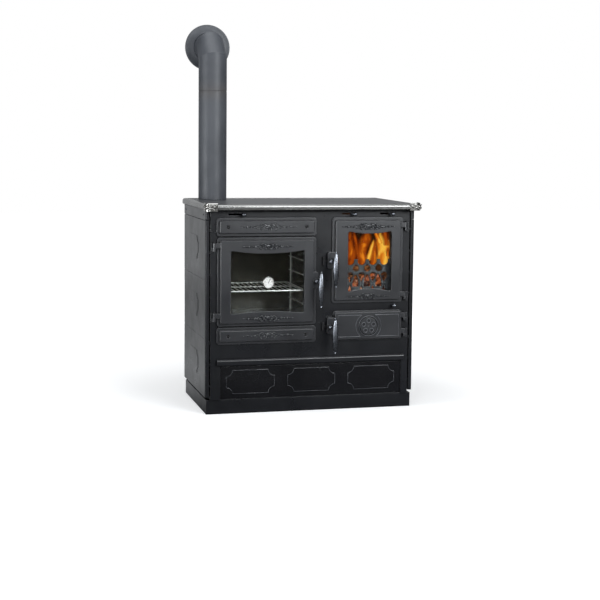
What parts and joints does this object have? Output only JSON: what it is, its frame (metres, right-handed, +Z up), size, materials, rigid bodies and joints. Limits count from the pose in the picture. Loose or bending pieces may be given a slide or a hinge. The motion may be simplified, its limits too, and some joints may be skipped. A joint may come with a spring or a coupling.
{
  "type": "wood cookstove",
  "caption": "Black enamelled wood-burning range with a glazed oven door, a glazed fire door, an ash door, a wood drawer, a cast hob with a polished rail and an elbowed flue pipe.",
  "frame": {"origin": "on the floor, under the middle of the body", "axes": "+X to the right seen from the front, +Y to the back (the front faces -Y), +Z up"},
  "size_m": [0.902, 0.6755, 1.598],
  "materials": {
    "enamel": "satin black enamel on sheet steel",
    "drawer_enamel": "gloss black enamel on sheet steel",
    "cast_black": "satin black enamel on cast iron",
    "cast_plate": "fine-ground blackened cast iron",
    "polished_steel": "polished steel",
    "nickel": "bright nickel plate",
    "chrome": "bright chrome plate",
    "dark_steel": "blackened steel",
    "oven_enamel": "dark brown gloss enamel",
    "pipe_paint": "satin blue-grey heat-proof paint",
    "heat_glass": "clear ceramic glass",
    "rope_seal": "woven heat-proof cord",
    "dial_white": "printed white dial",
    "fire_brick": "fired clay, sooty"
  },
  "bodies": {
    "stove": {"plinth": "enamel", "casing": "enamel", "back_panel": "enamel", "side_panel_left": "enamel", "side_panel_right": "enamel", "front_frame": "enamel", "front_ledge": "cast_black", "drawer_runners": "enamel", "hob_frame": "polished_steel", "hob_corners": "nickel", "hob_plate_left": "cast_plate", "hob_plate_right": "cast_plate", "upper_cover": "cast_black", "lower_cover": "cast_black", "cover_screws": "dark_steel", "oven_box": "oven_enamel", "oven_ladders": "chrome", "flue_duct": "dark_steel", "firebricks": "fire_brick", "grate_frame": "cast_plate", "fire_guard": "cast_plate", "ash_chamber": "dark_steel", "air_guide": "dark_steel", "hinge_brackets": "cast_black", "hinge_pins": "nickel", "latch_keepers": "dark_steel", "flue_collar": "cast_plate", "flue_pipe": "pipe_paint", "flue_elbow": "pipe_paint", "wall_rosette": "pipe_paint"},
    "oven_door": {"oven_door_leaf": "cast_black", "oven_door_glass": "heat_glass", "oven_glass_frame": "dark_steel", "oven_door_seal": "rope_seal", "thermometer_case": "nickel", "thermometer_dial": "dial_white"},
    "oven_handle": {"oven_handle_shaft": "dark_steel", "oven_handle_grip": "chrome"},
    "thermometer_needle": {"thermometer_needle": "dark_steel"},
    "fire_door": {"fire_door_leaf": "cast_black", "fire_door_glass": "heat_glass", "fire_glass_frame": "dark_steel", "fire_door_seal": "rope_seal"},
    "fire_handle": {"fire_handle_shaft": "dark_steel", "fire_handle_grip": "chrome"},
    "ash_door": {"ash_door_leaf": "cast_black"},
    "ash_handle": {"ash_handle_shaft": "dark_steel", "ash_handle_grip": "chrome"},
    "air_rosette": {"air_rosette": "cast_black"},
    "wood_drawer": {"drawer_front": "drawer_enamel", "drawer_tray": "drawer_enamel"},
    "ash_pan": {"ash_pan": "dark_steel"},
    "oven_rack": {"oven_rack": "chrome"},
    "bypass_damper": {"bypass_damper": "chrome"},
    "air_slide_left": {"air_slide_left": "chrome"},
    "air_slide_right": {"air_slide_right": "chrome"},
    "grate": {"grate": "cast_plate", "shaker_rod": "chrome"},
    "hob_ring": {"hob_ring": "cast_plate"},
    "hob_lid": {"hob_lid": "cast_plate"}
  },
  "joints": [
    {"name": "oven_door_swing", "type": "hinge", "parent": "stove", "child": "oven_door", "pos_m": [-0.404, -0.258, 0.537], "axis": [0, 0, -1], "range_deg": [0, 110]},
    {"name": "oven_handle_turn", "type": "hinge", "parent": "oven_door", "child": "oven_handle", "pos_m": [0.0135, -0.26, 0.536], "axis": [0, 1, 0], "range_deg": [0, 90]},
    {"name": "thermometer_needle_turn", "type": "hinge", "parent": "oven_door", "child": "thermometer_needle", "pos_m": [-0.184, -0.263, 0.534], "axis": [0, 1, 0], "range_deg": [-165, 105]},
    {"name": "fire_door_swing", "type": "hinge", "parent": "stove", "child": "fire_door", "pos_m": [0.399, -0.258, 0.618], "axis": [0, 0, 1], "range_deg": [0, 110]},
    {"name": "fire_handle_turn", "type": "hinge", "parent": "fire_door", "child": "fire_handle", "pos_m": [0.074, -0.26, 0.616], "axis": [0, -1, 0], "range_deg": [0, 90]},
    {"name": "ash_door_swing", "type": "hinge", "parent": "stove", "child": "ash_door", "pos_m": [0.399, -0.258, 0.348], "axis": [0, 0, 1], "range_deg": [0, 110]},
    {"name": "ash_handle_turn", "type": "hinge", "parent": "ash_door", "child": "ash_handle", "pos_m": [0.074, -0.26, 0.347], "axis": [0, -1, 0], "range_deg": [0, 90]},
    {"name": "air_rosette_turn", "type": "hinge", "parent": "ash_door", "child": "air_rosette", "pos_m": [0.2395, -0.265, 0.347], "axis": [0, 1, 0], "range_deg": [0, 36]},
    {"name": "wood_drawer_slide", "type": "slide", "parent": "stove", "child": "wood_drawer", "axis": [0, -1, 0], "range_m": [0, 0.35]},
    {"name": "ash_pan_slide", "type": "slide", "parent": "stove", "child": "ash_pan", "axis": [0, -1, 0], "range_m": [0, 0.097]},
    {"name": "oven_rack_slide", "type": "slide", "parent": "stove", "child": "oven_rack", "axis": [0, -1, 0], "range_m": [0, 0.097]},
    {"name": "bypass_damper_slide", "type": "slide", "parent": "stove", "child": "bypass_damper", "axis": [-1, 0, 0], "range_m": [0, 0.055]},
    {"name": "air_slide_left_slide", "type": "slide", "parent": "stove", "child": "air_slide_left", "axis": [-1, 0, 0], "range_m": [0, 0.045]},
    {"name": "air_slide_right_slide", "type": "slide", "parent": "stove", "child": "air_slide_right", "axis": [-1, 0, 0], "range_m": [0, 0.045]},
    {"name": "grate_shake", "type": "slide", "parent": "stove", "child": "grate", "axis": [0, -1, 0], "range_m": [0, 0.025]},
    {"name": "hob_ring_lift", "type": "slide", "parent": "stove", "child": "hob_ring", "axis": [0, 0, 1], "range_m": [0, 0.05]},
    {"name": "hob_lid_lift", "type": "slide", "parent": "hob_ring", "child": "hob_lid", "axis": [0, 0, 1], "range_m": [0, 0.05]}
  ],
  "couplings": [
    {"joint": "ash_pan_slide", "follows": "ash_door_swing", "m_per_rad": 0.05},
    {"joint": "oven_rack_slide", "follows": "oven_door_swing", "m_per_rad": 0.05}
  ]
}
